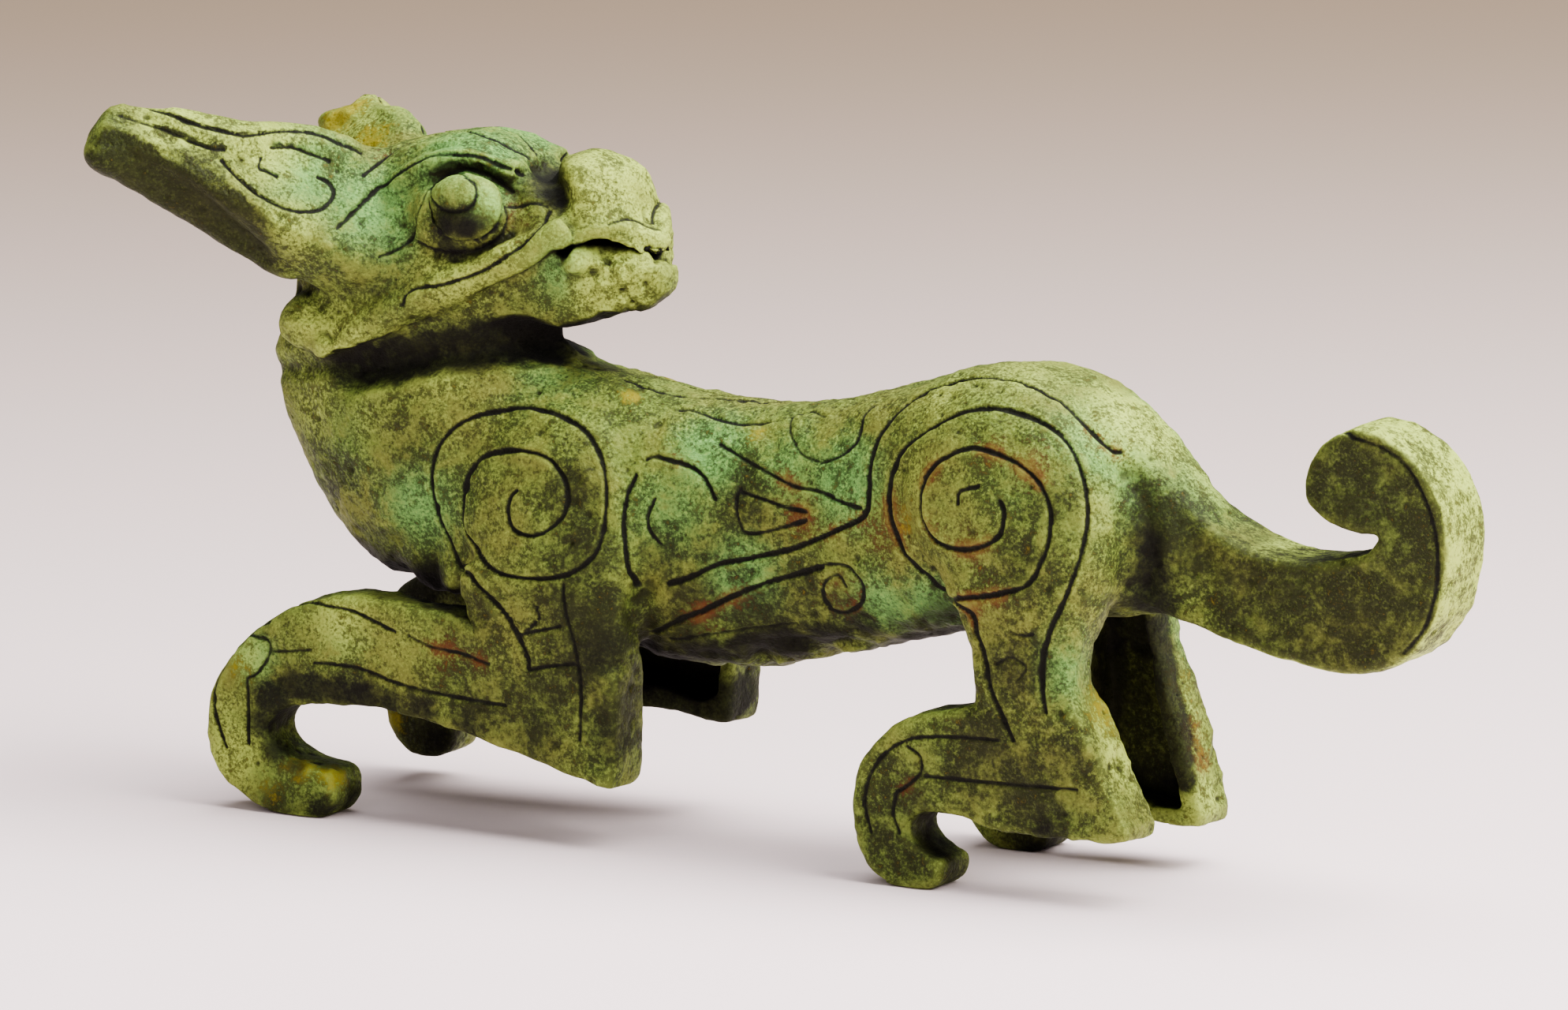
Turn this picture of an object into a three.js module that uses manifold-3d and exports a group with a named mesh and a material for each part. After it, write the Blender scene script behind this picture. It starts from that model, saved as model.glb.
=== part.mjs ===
// A cast bronze beast, crouching, with its head turned back over its shoulder.
// Millimetres. +X runs from the chest to the tail, +Y to the beast's right, +Z up from the floor.
import * as THREE from 'three';
import { mergeVertices } from 'three/addons/utils/BufferGeometryUtils.js';
import Module from 'manifold-3d';

const wasm = await Module();
wasm.setup();

// Trunk, one row for each station: along the body, top, bottom, half width
const TRUNK = [
  [-84, 80, 60, 10],
  [-70, 89, 50, 18],
  [-52, 90, 43, 21],
  [-34, 89, 37, 22],
  [-14, 86, 34, 20],
  [5, 85.5, 34, 17.5],
  [20, 87.5, 38, 17],
  [36, 92.5, 42, 18.5],
  [50, 97, 46, 21],
  [62, 98.7, 49, 22],
  [74, 96.8, 51, 20.5],
  [84, 92.2, 52, 16.5],
  [94, 84, 53.5, 11],
  [104, 74, 53, 8.2],
];
const TRUNK_SQUARENESS = 0.85;
const TRUNK_STEPS = 23;
const TRUNK_SIDES = 24;

// Chest and neck column, one row for each level: height, front, back, half width
const NECK = [
  [46.5, -79, -52, 11],
  [51, -84.5, -42, 16],
  [59, -91, -34, 19.5],
  [69, -96.5, -28, 21.5],
  [79, -99.5, -29, 21.5],
  [88, -100, -36, 20.5],
  [96, -97, -40, 18.5],
  [105, -92, -45, 15],
];
const NECK_SQUARENESS = 0.95;
const NECK_STEPS = 14;
const NECK_SIDES = 24;

// Head, one row for each station along X:
// top height, top half width, eye height, eye half width, cheek height, cheek half width, chin, chin half width
const HEAD = [
  [-91, 117, 6, 109, 12, 98, 16, 91, 10],
  [-82, 125.5, 8, 115, 14.5, 96, 21, 90, 15],
  [-68, 130.5, 8.5, 119, 15, 101, 21, 92, 15],
  [-55, 132, 8.5, 120, 14.5, 107, 18.5, 94, 13],
  [-45, 127, 8, 119, 12.5, 113, 14, 95.5, 11],
  [-37.5, 129.5, 8.5, 120, 11.5, 112, 12, 96.5, 9.5],
  [-30.5, 127, 8.5, 118, 10.5, 110.5, 10.5, 98.6, 8],
  [-23.5, 119, 6.6, 113, 8, 108, 8, 101.6, 6],
  [-18, 112.5, 3.2, 110.5, 4, 108.5, 4, 105.4, 3],
];

const HEAD_STEPS = 20;
const HEAD_SIDES = 28;
const CROWN_FLAT = 0.7;
const CROWN_DROP = 2.8;
const CHIN_LIFT = 0.8;

// Mouth slit in the side plane: corner, upper lip, lip notch, then the lower lip back to the corner
const MOUTH = [[-37, 112.4], [-32, 114.6], [-25, 115], [-20, 112], [-14, 111]];
const MOUTH_LOWER = [[-14, 109], [-24, 110.6], [-33, 110.8]];
const MOUTH_WIDTH = 40;

// Eye ball, cheek ridge, brow ridge and jaw lobe on the near side, mirrored to the far side
const EYE = { at: [-53.5, -14.2, 119.8], radii: [5.2, 4.6, 4.7] };
const CHEEK = {
  line: [[-34, -11, 117], [-44, -15, 111.5], [-57, -18.6, 105], [-70, -20.6, 98], [-84, -19, 91]],
  radius: 2.8,
};
const BROW = {
  line: [[-74, -11, 116], [-69, -11, 123.5], [-58, -10, 128], [-46, -8.4, 126]],
  radius: 2.8,
};
const JAW_LOBE = { at: [-85.5, -18, 95], radii: [6, 4.5, 6.2] };
const RIDGE_SIDES = 7;
const RIDGE_STEPS = 10;
const BALL_SIDES = 14;
const BALL_RINGS = 10;

// Horn, from inside the skull to the tip, one row for each station: share of length, face width, thickness
const HORN_ROOT = [-78, -12, 114];
const HORN_TIP = [-120.5, -38.5, 132.5];
const HORN = [
  [-0.3, 22, 12],
  [0, 30, 16],
  [0.3, 26, 16],
  [0.58, 18.5, 13.4],
  [0.82, 14, 10.2],
  [0.96, 12, 8.8],
  [1, 9.4, 6.4],
];
const HORN_FACE_TILT = 47;
const HORN_SQUARENESS = 0.45;
const FAR_HORN_LEFT = 0.56;
const HORN_SIDES = 16;

// Tail in the side plane: underside from the rump, around the curl and back along the top
const TAIL_UNDER = [[80, 58], [97, 53.5], [112, 50.2], [127, 47.4], [138, 47.4], [147.5, 51.5], [153.7, 59.5]];
const TAIL_BACK = [[156.3, 70], [155.5, 80], [150.2, 88.6], [142.5, 93.4], [136, 94.4]];
const TAIL_TIP = [[130, 91.8], [125.6, 86], [124.9, 80.2], [127.6, 77.3], [132, 75.3], [137, 74.3]];
const TAIL_SLIT = [[141.2, 74], [138.5, 70.4]];
const TAIL_TOP = [[129, 68], [119, 67.6], [109.4, 70], [102, 74.4], [95, 80.4], [87, 87], [76, 90]];
const TAIL_HALF = 8;
const TAIL_BEVEL = 1;

// Legs. A foot slab follows a side outline, with a flat outer face and a hollow inner side.
const LEG_OUTER = 26.5;
const LEG_INNER = 14;
const LEG_WALL = 3;
const LEG_BEVEL = 1;
const LIMB_STEPS = 13;
const LIMB_SIDES = 20;

// Shoulder and upper arm, one row for each level: height, front, back, outer face, inner face, corner power
const ARM = [
  [84.5, -38, -28, 15, 8, 0.9],
  [81.5, -46, -20, 18.5, 6, 0.9],
  [75, -52, -15, 22.4, 4, 0.85],
  [67, -54, -12.5, 24.4, 4, 0.8],
  [57, -51, -12, 25.8, 6, 0.7],
  [48, -45.5, -12.5, 26.4, 9, 0.6],
  [38, -38, -14, 26.5, 13, 0.45],
  [30, -36, -14.4, 26.5, 14, 0.35],
  [20, -36, -14.6, 26.5, 14, 0.3],
];

// Forearm and paw outline: top and knuckle, claw, inside of the claw, underside and elbow
const FORE_TOP = [[-42, 42.5], [-52, 43], [-64, 44.4], [-76.5, 44], [-88, 40], [-98, 32.4], [-104, 22.5]];
const FORE_CLAW = [[-105, 13], [-101.5, 6.2], [-94.5, 1.6], [-87, 0], [-81, 0], [-77, 2.8], [-76.4, 7.4]];
const FORE_HOOK = [[-78.4, 10], [-84.5, 10.6], [-89.6, 13.2], [-91.4, 17], [-88.4, 20.6], [-80, 22.6], [-66, 22.8]];
const FORE_UNDER = [[-54, 21.4], [-40, 18.2], [-19, 13], [-15, 14.6], [-14.4, 36]];
const FORE_HOLLOW = [[-44, 38], [-48, 26], [-21, 18], [-17.6, 19.6], [-17.2, 52], [-38, 54]];

// Far foreleg: it sits a little higher, its claw is lost and a broken knuckle hangs clear of the floor
const STUMP_TOP = [[-42, 42.5], [-52, 43], [-64, 44], [-76, 43], [-86.5, 38], [-90.4, 29], [-90, 18]];
const STUMP_FOOT = [[-88.4, 10], [-84, 5.6], [-79.6, 5], [-75.4, 6.6], [-74, 11], [-74.4, 17], [-66, 23.5]];
const STUMP_UNDER = [[-54, 24], [-38, 22], [-17, 18.6], [-12.6, 19.8], [-12, 36]];
const STUMP_HOLLOW = [[-44, 38], [-48, 29], [-19, 22.6], [-15.4, 24], [-15, 52], [-38, 54]];

// Haunch and thigh, rows as for the arm
const THIGH = [
  [97, 58, 68, 12, 6, 0.9],
  [93, 51, 77, 17, 5, 0.9],
  [85, 44.5, 85, 22.5, 4, 0.85],
  [75, 42.5, 88.5, 25, 4, 0.8],
  [66, 47.5, 89, 26, 5, 0.75],
  [58, 55, 87.5, 26.4, 8, 0.65],
  [50, 59.5, 85, 26.5, 11, 0.55],
  [42, 62.4, 84.8, 26.5, 14, 0.45],
  [34, 63.6, 88, 26.5, 14, 0.35],
  [24, 64, 91.5, 26.5, 14, 0.3],
];
const FAR_THIGH_FORWARD = 3.5;

// Hind foot outline, as for the forearm, ending at the heel
const HIND_TOP = [[63.4, 37], [58, 35.6], [50.5, 33.8], [43.8, 29.8], [38.6, 23.4], [36.9, 16]];
const HIND_CLAW = [[38, 9], [40.6, 3.8], [44, 1], [48, 0], [53.4, 0], [56.8, 2.6], [57, 6], [54.8, 7]];
const HIND_HOOK = [[51.4, 8.8], [49.8, 12], [52, 15], [60, 15.4]];
const HIND_UNDER = [[70, 13.2], [84, 13.2], [97.6, 14], [93.6, 24], [86, 39]];
const HIND_HOLLOW = [[66.5, 34], [66.5, 17], [84, 16.4], [92, 17], [84.4, 36], [81.6, 46], [84, 62], [66, 62]];

// Far hind foot: its heel is further forward and lower
const FAR_UNDER = [[70, 11], [80, 9.2], [90.5, 9], [88.6, 19], [83, 37]];
const FAR_HOLLOW = [[66, 34], [66, 15], [80, 12.4], [86.6, 12.2], [80.6, 33], [78, 46], [80.4, 62], [63, 62]];

const OUTLINE_STEPS = 2;
const MERGE_WITHIN = 1e-4;
const FLOOR_TRIM = 0.4;
const MUCH = 400;

const pair = ([x, y]) => new THREE.Vector2(x, y);
const triple = ([x, y, z]) => new THREE.Vector3(x, y, z);
const mirrored = ([x, y, z]) => [x, -y, z];

// A closed geometry as a solid that can be joined and cut
function solid(geometry) {
  const bare = geometry.index ? geometry.clone() : geometry;
  bare.deleteAttribute('normal');
  bare.deleteAttribute('uv');
  const merged = mergeVertices(bare, MERGE_WITHIN);
  const mesh = new wasm.Mesh({
    numProp: 3,
    vertProperties: Float32Array.from(merged.attributes.position.array),
    triVerts: Uint32Array.from(merged.index.array),
  });
  return new wasm.Manifold(mesh);
}

// A skin over a row of rings with the same number of points, closed by a fan at each end
function loft(rings) {
  const count = rings[0].length;
  const positions = rings.flat().flatMap((point) => point.toArray());
  const index = [];
  for (let row = 0; row + 1 < rings.length; row += 1) {
    for (let step = 0; step < count; step += 1) {
      const next = (step + 1) % count;
      const [a, b] = [row * count + step, row * count + next];
      index.push(a, b, a + count, b, b + count, a + count);
    }
  }
  for (const [row, turn] of [[0, 1], [rings.length - 1, -1]]) {
    const hub = positions.length / 3;
    const centre = rings[row].reduce((sum, point) => sum.add(point), new THREE.Vector3()).divideScalar(count);
    positions.push(...centre.toArray());
    for (let step = 0; step < count; step += 1) {
      const [a, b] = [row * count + step, row * count + ((step + 1) % count)];
      index.push(...(turn > 0 ? [hub, b, a] : [hub, a, b]));
    }
  }
  const geometry = new THREE.BufferGeometry();
  geometry.setAttribute('position', new THREE.Float32BufferAttribute(positions, 3));
  geometry.setIndex(signedVolume(positions, index) > 0 ? index : index.reverse());
  return solid(geometry);
}

function signedVolume(positions, index) {
  let volume = 0;
  for (let at = 0; at < index.length; at += 3) {
    const [a, b, c] = [0, 1, 2].map((k) => new THREE.Vector3().fromArray(positions, 3 * index[at + k]));
    volume += a.dot(b.cross(c)) / 6;
  }
  return volume;
}

// Rows of numbers smoothed along their first column
function smoothRows(rows, steps) {
  const column = (k) => new THREE.SplineCurve(rows.map((row) => pair([row[0], row[k]])));
  const columns = rows[0].slice(1).map((_, k) => column(k + 1));
  return Array.from({ length: steps + 1 }, (_, step) => {
    const points = columns.map((curve) => curve.getPoint(step / steps));
    return [points[0].x, ...points.map((point) => point.y)];
  });
}

function superPoint(angle, power) {
  const bend = (value) => Math.sign(value) * Math.abs(value) ** power;
  return [bend(Math.cos(angle)), bend(Math.sin(angle))];
}

function ring(sides, place) {
  return Array.from({ length: sides }, (_, step) => place((2 * Math.PI * step) / sides));
}

function trunk() {
  const rings = smoothRows(TRUNK, TRUNK_STEPS).map(([x, top, bottom, half]) =>
    ring(TRUNK_SIDES, (angle) => {
      const [across, up] = superPoint(angle, TRUNK_SQUARENESS);
      return new THREE.Vector3(x, half * across, (top + bottom) / 2 + ((top - bottom) / 2) * up);
    }));
  return loft(rings);
}

function neck() {
  const rings = smoothRows(NECK, NECK_STEPS).map(([z, front, back, half]) =>
    ring(NECK_SIDES, (angle) => {
      const [along, across] = superPoint(angle, NECK_SQUARENESS);
      return new THREE.Vector3((front + back) / 2 + ((back - front) / 2) * along, half * across, z);
    }));
  return loft(rings);
}

function skull() {
  const rings = smoothRows(HEAD, HEAD_STEPS).map((row) => {
    const [x, top, topHalf, eye, eyeHalf, cheek, cheekHalf, chin, chinHalf] = row;
    const right = [
      [topHalf * CROWN_FLAT, top - CROWN_DROP / 4],
      [topHalf, top - CROWN_DROP],
      [eyeHalf, eye],
      [cheekHalf, cheek],
      [chinHalf, chin + CHIN_LIFT],
      [chinHalf / 2, chin],
    ];
    const left = right.map(([y, z]) => [-y, z]).reverse();
    const corners = [[0, top], ...right, [0, chin], ...left].map(([y, z]) => new THREE.Vector3(x, y, z));
    return new THREE.CatmullRomCurve3(corners, true, 'centripetal').getPoints(HEAD_SIDES).slice(0, -1);
  });
  return loft(rings);
}

// A side outline given a thickness from one Y to another, with rounded edges
function slab(runs, fromY, toY, bevel) {
  const shape = new THREE.Shape();
  const [[start, ...rest], ...others] = runs;
  shape.moveTo(...start);
  for (const run of [rest, ...others]) {
    shape.splineThru(run.map(pair));
  }
  const geometry = new THREE.ExtrudeGeometry(shape, {
    depth: toY - fromY - 2 * bevel,
    steps: 1,
    curveSegments: OUTLINE_STEPS,
    bevelEnabled: bevel > 0,
    bevelThickness: bevel,
    bevelSize: bevel,
    bevelOffset: -bevel,
    bevelSegments: 1,
  });
  geometry.rotateX(Math.PI / 2);
  geometry.translate(0, toY - bevel, 0);
  return solid(geometry);
}

// A side outline with straight runs between its corners
function plate(corners, fromY, toY) {
  const geometry = new THREE.ExtrudeGeometry(new THREE.Shape(corners.map(pair)), {
    depth: toY - fromY,
    bevelEnabled: false,
  });
  geometry.rotateX(Math.PI / 2);
  geometry.translate(0, toY, 0);
  return solid(geometry);
}

function ball({ at, radii }) {
  const geometry = new THREE.SphereGeometry(1, BALL_SIDES, BALL_RINGS);
  geometry.scale(...radii);
  geometry.translate(...at);
  return solid(geometry);
}

// A round ridge along a line
function ridge({ line, radius }) {
  const around = ring(RIDGE_SIDES, (angle) => pair([radius * Math.cos(angle), radius * Math.sin(angle)]));
  const section = new THREE.Shape(around);
  const path = new THREE.CatmullRomCurve3(line.map(triple));
  const options = { steps: RIDGE_STEPS, extrudePath: path, bevelEnabled: false };
  return solid(new THREE.ExtrudeGeometry(section, options));
}

function bothSides(make, part) {
  const line = part.line?.map(mirrored);
  const at = part.at && mirrored(part.at);
  return make(part).add(make({ ...part, line, at }));
}

// A tapering four-sided horn, its broad face turned out and up; side is -1 near and +1 far
function horn(side, left) {
  const root = triple(HORN_ROOT);
  const axis = triple(HORN_TIP).sub(root);
  const out = new THREE.Vector3().crossVectors(new THREE.Vector3(0, 0, 1), axis).normalize();
  const up = new THREE.Vector3().crossVectors(axis, out).normalize();
  const tilt = THREE.MathUtils.degToRad(HORN_FACE_TILT);
  const normal = up.clone().multiplyScalar(Math.cos(tilt)).addScaledVector(out, Math.sin(tilt));
  const across = out.clone().multiplyScalar(Math.cos(tilt)).addScaledVector(up, -Math.sin(tilt));
  const rows = HORN.map(([share, ...sizes]) => [Math.min(share, left), ...sizes]);
  const kept = rows.filter((row, k) => k === 0 || row[0] > rows[k - 1][0]);
  const rings = kept.map(([share, width, thickness]) =>
    ring(HORN_SIDES, (angle) => {
      const [a, b] = superPoint(angle, HORN_SQUARENESS);
      const point = root.clone().addScaledVector(axis, share);
      point.addScaledVector(across, (width / 2) * a).addScaledVector(normal, (thickness / 2) * b);
      point.y *= -side;
      return point;
    }));
  return loft(rings);
}

function tail() {
  return slab([TAIL_UNDER, TAIL_BACK, TAIL_TIP, TAIL_SLIT, TAIL_TOP], -TAIL_HALF, TAIL_HALF, TAIL_BEVEL);
}

// A swelling limb from its rows of levels; side is -1 near and +1 far
function limb(rows, side, forward) {
  const rings = smoothRows(rows, LIMB_STEPS).map(([z, front, back, outer, inner, power]) =>
    ring(LIMB_SIDES, (angle) => {
      const [along, across] = superPoint(angle, power);
      const x = (front + back) / 2 + ((back - front) / 2) * along - forward;
      return new THREE.Vector3(x, side * ((outer + inner) / 2 + ((outer - inner) / 2) * across), z);
    }));
  return loft(rings);
}

// One leg, limb and foot, hollowed from the inner side
function leg(rows, runs, hollow, side, forward = 0) {
  const span = (a, b) => (side < 0 ? [-b, -a] : [a, b]);
  const foot = slab(runs, ...span(LEG_INNER, LEG_OUTER), LEG_BEVEL);
  const room = plate(hollow, ...span(LEG_INNER - MUCH, LEG_OUTER - LEG_WALL));
  return limb(rows, side, forward).add(foot).subtract(room);
}

function box(min, max) {
  const size = triple(max).sub(triple(min));
  const geometry = new THREE.BoxGeometry(...size.toArray());
  geometry.translate(...triple(min).addScaledVector(size, 0.5).toArray());
  return solid(geometry);
}

function legs() {
  return leg(ARM, [FORE_TOP, FORE_CLAW, FORE_HOOK, FORE_UNDER], FORE_HOLLOW, -1)
    .add(leg(ARM, [STUMP_TOP, STUMP_FOOT, STUMP_UNDER], STUMP_HOLLOW, 1))
    .add(leg(THIGH, [HIND_TOP, HIND_CLAW, HIND_HOOK, HIND_UNDER], HIND_HOLLOW, -1))
    .add(leg(THIGH, [HIND_TOP, HIND_CLAW, HIND_HOOK, FAR_UNDER], FAR_HOLLOW, 1, FAR_THIGH_FORWARD));
}

function beast() {
  const joined = [
    trunk(),
    neck(),
    skull(),
    bothSides(ball, EYE),
    bothSides(ridge, CHEEK),
    bothSides(ridge, BROW),
    bothSides(ball, JAW_LOBE),
    horn(-1, 1),
    horn(1, FAR_HORN_LEFT),
    tail(),
    legs(),
  ].reduce((sum, piece) => sum.add(piece));
  const mouth = slab([MOUTH, MOUTH_LOWER], -MOUTH_WIDTH / 2, MOUTH_WIDTH / 2, 0);
  const below = box([-MUCH, -MUCH, -MUCH], [MUCH, MUCH, FLOOR_TRIM]);
  return joined.subtract(mouth).subtract(below);
}

function geometryOf(made) {
  const { vertProperties, triVerts } = made.getMesh();
  const geometry = new THREE.BufferGeometry();
  geometry.setAttribute('position', new THREE.BufferAttribute(Float32Array.from(vertProperties), 3));
  geometry.setIndex(Array.from(triVerts));
  const size = new THREE.Box3().setFromBufferAttribute(geometry.attributes.position);
  const middle = size.getCenter(new THREE.Vector3());
  geometry.translate(-middle.x, -middle.y, -size.min.z);
  geometry.computeVertexNormals();
  return geometry;
}

const group = new THREE.Group();
const bronze = new THREE.MeshStandardMaterial({ color: 0x6f8a55, roughness: 0.7, metalness: 0.3 });
const mesh = new THREE.Mesh(geometryOf(beast()), bronze);
mesh.name = 'bronze_beast';
group.add(mesh);

export default group;
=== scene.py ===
"""Looks of the crouching bronze beast: carved skin, green patina with painted shade and light, pale floor
with painted shade towards the back, and soft light.
"""

import itertools
import math

import bmesh
import bpy
import numpy as np
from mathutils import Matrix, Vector
from mathutils.bvhtree import BVHTree
from mathutils.kdtree import KDTree


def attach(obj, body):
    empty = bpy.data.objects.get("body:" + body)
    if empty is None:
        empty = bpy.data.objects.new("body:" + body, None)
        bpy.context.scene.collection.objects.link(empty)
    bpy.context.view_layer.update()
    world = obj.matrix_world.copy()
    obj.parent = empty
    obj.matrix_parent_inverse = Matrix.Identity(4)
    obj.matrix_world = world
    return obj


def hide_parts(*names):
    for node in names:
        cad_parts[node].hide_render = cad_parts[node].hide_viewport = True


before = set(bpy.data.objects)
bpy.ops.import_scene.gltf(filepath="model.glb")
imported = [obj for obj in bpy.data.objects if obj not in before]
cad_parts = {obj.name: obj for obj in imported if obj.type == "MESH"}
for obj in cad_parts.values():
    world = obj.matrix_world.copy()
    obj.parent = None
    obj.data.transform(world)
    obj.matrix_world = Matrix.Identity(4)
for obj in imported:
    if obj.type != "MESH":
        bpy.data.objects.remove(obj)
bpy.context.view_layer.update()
NODE = "bronze_beast"
METRE = 1000.0
SEED = 7

# Camera, with a long lens at the photograph's angle
IMAGE_WIDTH = 1988
IMAGE_HEIGHT = 1280
CAMERA_TURN = math.radians(30.0)
CAMERA_RISE = math.radians(11.25)
CAMERA_TARGET = Vector((-9.22, 3.81, 65.34)) / METRE
CAMERA_DISTANCE = 8.0
CAMERA_LENS = 965.8
CAMERA_SENSOR = 36.0

# Skin: fineness in millimetres, weld in metres, smoothing, and the number of triangles kept
SKIN_STEP = 0.42
WELD_DISTANCE = 1e-6
SMOOTH_ROUNDS = 76
SMOOTH_SHARE = 0.5
NORMAL_ROUNDS = 4
LINE_NORMAL_ROUNDS = 8
HOLLOW_ROUNDS = 30
SHORTEST = 1e-9
TRIANGLES_KEPT = 186000

# Large whole numbers that scatter the values of the soft noise
SCATTER = (73856093, 19349663, 83492791)
SCATTER_SEED = 2654435761
SCATTER_MIX = 1274126177
SCATTER_FIRST = 13
SCATTER_LAST = 16
SCATTER_TOP = 0xFFFF

# Middle plane of the beast and where the smoothing stays light, in millimetres
MIDDLE_Y = 3.812
HORN_FROM_X = -106.0
HORN_ABOVE_Z = 95.0
TAIL_FROM_X = 90.0
LEG_BELOW_Z = 36.0
HEAD_ABOVE_Z = 92.0
HEAD_BEFORE_X = -10.0
HEAD_FADE = 10.0
NOSE_FROM_X = -62.0
NOSE_FADE = 4.0
BLEND_WIDTH = 9.0
FULL_SMOOTHING = 1.0
HEAD_SMOOTHING = 0.34
NOSE_SMOOTHING = 0.22
LEG_SMOOTHING = 0.22
CRISP_SMOOTHING = 0.1

# Incised lines: half width and depth in millimetres, and how dark the fill is
BOLD = (0.74, 0.7, 1.0)
CLEAR = (0.64, 0.5, 0.95)
FINE = (0.62, 0.46, 0.85)
FAINT = (0.6, 0.38, 0.7)
LINE_STEP = 0.22
LINE_LEAST = 2
CUT_STEEP = 1.4
FILL_STEEP = 1.9
LINE_EVEN = 0.8
LINE_SWELL = 0.9
LINE_PATCH = 4.0
MIRROR_REACH = 2.6
MIRROR_CLEAR = 1.0
SEEK_DEPTH = 90.0
SEEK_STEP = 3.0

# Lines on the near side, by where the photograph shows them; the same lines are cut on the far side
BODY_LINES = [
    # Shoulder spiral, from the leg up and around to its eye
    (BOLD, [(671, 849), (666, 825), (638, 773), (610, 745), (602, 736), (594, 727), (588, 719),
            (581, 710), (560, 660), (550, 622), (551, 582), (567, 551), (600, 529), (661, 517),
            (699, 522), (737, 542), (758, 570), (768, 608), (768, 651), (758, 695), (739, 717),
            (709, 731), (671, 733), (633, 726), (610, 707), (593, 674), (588, 641), (593, 603),
            (610, 580), (638, 571), (671, 573), (699, 584), (718, 615), (716, 648), (699, 669),
            (676, 679), (652, 672), (644, 653), (647, 632), (655, 622)]),
    # Haunch arc and haunch spiral
    (BOLD, [(1099, 645), (1102, 594), (1112, 556), (1137, 524), (1172, 498), (1214, 484), (1258, 479),
            (1297, 485), (1322, 497), (1351, 514), (1380, 543), (1408, 570), (1421, 573)]),
    (BOLD, [(1325, 903), (1321, 871), (1321, 836), (1332, 798), (1351, 757), (1367, 715), (1378, 670),
            (1378, 632), (1367, 588), (1348, 556), (1316, 533), (1284, 521), (1252, 517), (1214, 525),
            (1172, 548), (1144, 572), (1131, 597), (1126, 632), (1134, 674), (1150, 706), (1176, 731),
            (1201, 750), (1239, 757), (1278, 750), (1303, 741), (1319, 715), (1330, 683), (1332, 648),
            (1322, 619), (1303, 597), (1271, 578), (1233, 568), (1201, 578), (1179, 597), (1169, 623),
            (1171, 658), (1185, 683), (1211, 696), (1239, 694), (1265, 680), (1273, 651), (1268, 635)]),
    (FINE, [(1214, 639), (1217, 623), (1239, 616)]),
    (BOLD, [(1207, 760), (1230, 779), (1236, 805), (1246, 830), (1254, 868), (1268, 903), (1284, 938)]),
    (FAINT, [(1281, 801), (1294, 806), (1310, 804)]),
    (FAINT, [(1262, 842), (1280, 834), (1300, 846), (1290, 862)]),
    # Flank: scroll, leaf and the two long lines that meet at the haunch
    (BOLD, [(820, 582), (832, 578), (852, 584), (877, 592), (894, 607), (907, 632)]),
    (BOLD, [(807, 602), (797, 624), (792, 649), (792, 674), (797, 719), (810, 741)]),
    (FINE, [(830, 632), (822, 654), (825, 674), (838, 690)]),
    (FINE, [(912, 562), (944, 582), (974, 599), (1009, 617), (1039, 623), (1068, 637), (1091, 644)]),
    (FINE, [(939, 619), (934, 632), (937, 659), (947, 676), (981, 671), (1021, 660)]),
    (FINE, [(942, 624), (966, 632), (994, 642), (1021, 649)]),
    (BOLD, [(847, 741), (874, 732), (909, 716), (939, 710), (969, 704), (1006, 695), (1034, 684),
            (1063, 671), (1091, 657), (1099, 645)]),
    (BOLD, [(830, 801), (864, 786), (894, 773), (929, 756), (964, 741), (1006, 729), (1041, 719)]),
    (FINE, [(1029, 721), (1051, 715), (1076, 719), (1093, 739), (1091, 766), (1068, 778), (1046, 766),
            (1044, 741), (1061, 729), (1073, 744)]),
    (FAINT, [(850, 812), (905, 803), (950, 797), (1010, 790)]),
    # Back lines and the small upper curl
    (FINE, [(790, 480), (810, 487), (832, 495), (862, 500), (919, 506), (969, 509), (1031, 507),
            (1083, 507)]),
    (FINE, [(862, 518), (884, 521), (909, 531), (934, 536), (976, 535)]),
    (FAINT, [(1046, 528), (1029, 523), (1006, 530), (1004, 552), (1019, 577), (1041, 586)]),
    (FINE, [(1041, 586), (1068, 577), (1086, 557), (1096, 527), (1108, 515)]),
    # Foreleg
    (FINE, [(714, 741), (718, 781), (730, 828), (736, 880), (734, 939)]),
    (FINE, [(680, 768), (682, 785), (664, 804)]),
    (FINE, [(664, 804), (685, 799), (709, 794)]),
    (FINE, [(671, 849), (699, 844), (728, 842)]),
    (FAINT, [(517, 805), (548, 820), (584, 828), (620, 842)]),
]

PAW_LINES = [
    (FINE, [(501, 801), (469, 785), (434, 771), (374, 763), (339, 785), (299, 812), (283, 848),
            (272, 884), (279, 923), (287, 947)]),
    (FINE, [(319, 805), (339, 812), (341, 828), (327, 852), (313, 860)]),
    (FINE, [(313, 860), (315, 896), (315, 943)]),
    (FAINT, [(343, 826), (394, 824)]),
    (FINE, [(398, 840), (450, 846), (497, 864), (525, 872), (580, 884), (640, 894)]),
]

HIND_PAW_LINES = [
    (FINE, [(1265, 938), (1195, 934), (1150, 938), (1118, 958), (1102, 985), (1096, 1020), (1104, 1055)]),
    (FINE, [(1150, 946), (1166, 960), (1166, 980), (1150, 996), (1136, 1004)]),
    (FINE, [(1136, 1004), (1132, 1030), (1140, 1056)]),
    (FINE, [(1172, 984), (1230, 990), (1300, 996), (1364, 1001)]),
]

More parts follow.
